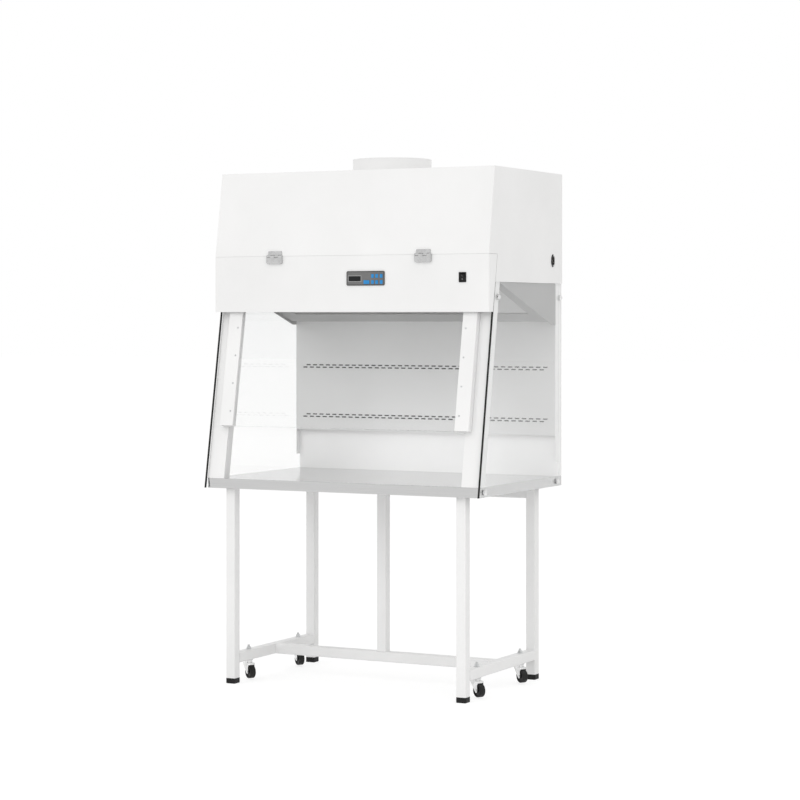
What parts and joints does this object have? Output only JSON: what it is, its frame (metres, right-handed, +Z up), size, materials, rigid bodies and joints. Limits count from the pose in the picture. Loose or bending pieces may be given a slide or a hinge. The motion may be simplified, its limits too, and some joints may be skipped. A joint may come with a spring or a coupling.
{
  "type": "biosafety cabinet",
  "caption": "Floor-standing biosafety cabinet: glass-sided work chamber with sliding sash, sheet hood with blower, filters and exhaust collar, on a tube stand with castors.",
  "frame": {"origin": "on the floor under the middle of the overall box", "axes": "+Z up, -Y the front with the sash, +X to the right seen from the front"},
  "size_m": [1.218, 0.7738, 2.078],
  "materials": {
    "white_paint": "satin powder coat",
    "white_alloy": "white satin powder coat",
    "stainless": "brushed",
    "chrome": "bright plated",
    "zinc": "zinc plated",
    "hinge_metal": "satin",
    "clear_glass": "clear",
    "seal_rubber": "matt",
    "wheel_rubber": "matt",
    "black_plastic": "matt",
    "panel_plastic": "satin",
    "display": "gloss",
    "blue_key": "satin",
    "filter_media": "pleated paper in a frame",
    "lamp_diffuser": "opal",
    "blower_metal": "painted",
    "galvanised": "galvanised"
  },
  "bodies": {
    "cabinet": {"legs": "white_paint", "foot_caps": "black_plastic", "side_rails": "white_paint", "cross_rail": "white_paint", "centre_post": "white_paint", "rear_top_rail": "white_paint", "base_frame": "white_paint", "castor_stems": "zinc", "castor_nuts": "zinc", "worktop": "stainless", "front_post_left": "white_paint", "front_post_right": "white_paint", "side_glass_left": "clear_glass", "side_glass_right": "clear_glass", "glass_edge_seals": "seal_rubber", "glass_knobs": "chrome", "back_panel": "white_paint", "rear_baffle": "stainless", "baffle_cheeks": "white_paint", "ceiling_panel": "white_paint", "supply_filter": "filter_media", "led_lamp": "lamp_diffuser", "hood_side_left": "white_paint", "hood_side_right": "white_paint", "hood_top": "white_paint", "front_cover": "white_paint", "hinge_upper_leaves": "hinge_metal", "hinge_pins": "hinge_metal", "sash_tracks": "white_alloy", "power_inlet": "black_plastic", "exhaust_collar": "galvanised", "exhaust_filter": "filter_media", "blower_shelf": "galvanised", "blower_motor": "blower_metal", "blower_housing": "galvanised"},
    "flap": {"front_flap": "white_paint", "hinge_lower_leaves": "hinge_metal", "control_panel": "panel_plastic", "display_window": "display", "switch_bezel": "black_plastic"},
    "rocker": {"switch_rocker": "black_plastic"},
    "sash": {"sash_pane": "clear_glass", "sash_stiles": "white_alloy", "sash_screws": "zinc"},
    "impeller": {"blower_impeller": "galvanised"},
    "button_1": {"key_1": "blue_key"},
    "button_2": {"key_2": "blue_key"},
    "button_3": {"key_3": "blue_key"},
    "button_4": {"key_4": "blue_key"},
    "button_5": {"key_5": "blue_key"},
    "button_6": {"key_6": "blue_key"},
    "button_7": {"key_7": "blue_key"},
    "castor_1_swivel": {"castor_fork_1": "chrome"},
    "castor_1_roller": {"castor_wheel_1": "wheel_rubber"},
    "castor_2_swivel": {"castor_fork_2": "chrome"},
    "castor_2_roller": {"castor_wheel_2": "wheel_rubber"},
    "castor_3_swivel": {"castor_fork_3": "chrome"},
    "castor_3_roller": {"castor_wheel_3": "wheel_rubber"},
    "castor_4_swivel": {"castor_fork_4": "chrome"},
    "castor_4_roller": {"castor_wheel_4": "wheel_rubber"}
  },
  "joints": [
    {"name": "flap_lift", "type": "hinge", "parent": "cabinet", "child": "flap", "pos_m": [0, -0.30715, 1.6865], "axis": [-1, 0, 0], "range_deg": [0, 90]},
    {"name": "key_1_press", "type": "slide", "parent": "flap", "child": "button_1", "axis": [0, 1, 0], "range_m": [0, 0.001], "stiffness_N_per_m": 800, "springref_m": -0.001},
    {"name": "key_2_press", "type": "slide", "parent": "flap", "child": "button_2", "axis": [0, 1, 0], "range_m": [0, 0.001], "stiffness_N_per_m": 800, "springref_m": -0.001},
    {"name": "key_3_press", "type": "slide", "parent": "flap", "child": "button_3", "axis": [0, 1, 0], "range_m": [0, 0.001], "stiffness_N_per_m": 800, "springref_m": -0.001},
    {"name": "key_4_press", "type": "slide", "parent": "flap", "child": "button_4", "axis": [0, 1, 0], "range_m": [0, 0.001], "stiffness_N_per_m": 800, "springref_m": -0.001},
    {"name": "key_5_press", "type": "slide", "parent": "flap", "child": "button_5", "axis": [0, 1, 0], "range_m": [0, 0.001], "stiffness_N_per_m": 800, "springref_m": -0.001},
    {"name": "key_6_press", "type": "slide", "parent": "flap", "child": "button_6", "axis": [0, 1, 0], "range_m": [0, 0.001], "stiffness_N_per_m": 800, "springref_m": -0.001},
    {"name": "key_7_press", "type": "slide", "parent": "flap", "child": "button_7", "axis": [0, 1, 0], "range_m": [0, 0.001], "stiffness_N_per_m": 800, "springref_m": -0.001},
    {"name": "switch_rock", "type": "hinge", "parent": "flap", "child": "rocker", "pos_m": [0.493, -0.30015, 1.599], "axis": [1, 0, 0], "range_deg": [-20, 0]},
    {"name": "sash_slide", "type": "slide", "parent": "cabinet", "child": "sash", "axis": [0, 0.1736, 0.9848], "range_m": [-0.205, 0.2]},
    {"name": "castor_1_turn", "type": "hinge", "parent": "cabinet", "child": "castor_1_swivel", "pos_m": [-0.506, -0.20515, 0.0702], "axis": [0, 0, 1], "continuous": true},
    {"name": "castor_1_roll", "type": "hinge", "parent": "castor_1_swivel", "child": "castor_1_roller", "pos_m": [-0.49243, -0.21363, 0.0305], "axis": [-0.5299, -0.848, 0], "continuous": true},
    {"name": "castor_2_turn", "type": "hinge", "parent": "cabinet", "child": "castor_2_swivel", "pos_m": [-0.506, 0.19085, 0.0702], "axis": [0, 0, 1], "continuous": true},
    {"name": "castor_2_roll", "type": "hinge", "parent": "castor_2_swivel", "child": "castor_2_roller", "pos_m": [-0.49306, 0.18144, 0.0305], "axis": [-0.5878, -0.809, 0], "continuous": true},
    {"name": "castor_3_turn", "type": "hinge", "parent": "cabinet", "child": "castor_3_swivel", "pos_m": [0.506, -0.20515, 0.0702], "axis": [0, 0, 1], "continuous": true},
    {"name": "castor_3_roll", "type": "hinge", "parent": "castor_3_swivel", "child": "castor_3_roller", "pos_m": [0.51986, -0.21315, 0.0305], "axis": [-0.5, -0.866, 0], "continuous": true},
    {"name": "castor_4_turn", "type": "hinge", "parent": "cabinet", "child": "castor_4_swivel", "pos_m": [0.506, 0.19085, 0.0702], "axis": [0, 0, 1], "continuous": true},
    {"name": "castor_4_roll", "type": "hinge", "parent": "castor_4_swivel", "child": "castor_4_roller", "pos_m": [0.51926, 0.1819, 0.0305], "axis": [-0.5592, -0.829, 0], "continuous": true},
    {"name": "blower_spin", "type": "hinge", "parent": "cabinet", "child": "impeller", "pos_m": [0, 0.06785, 1.8], "axis": [0, 0, 1], "continuous": true}
  ]
}
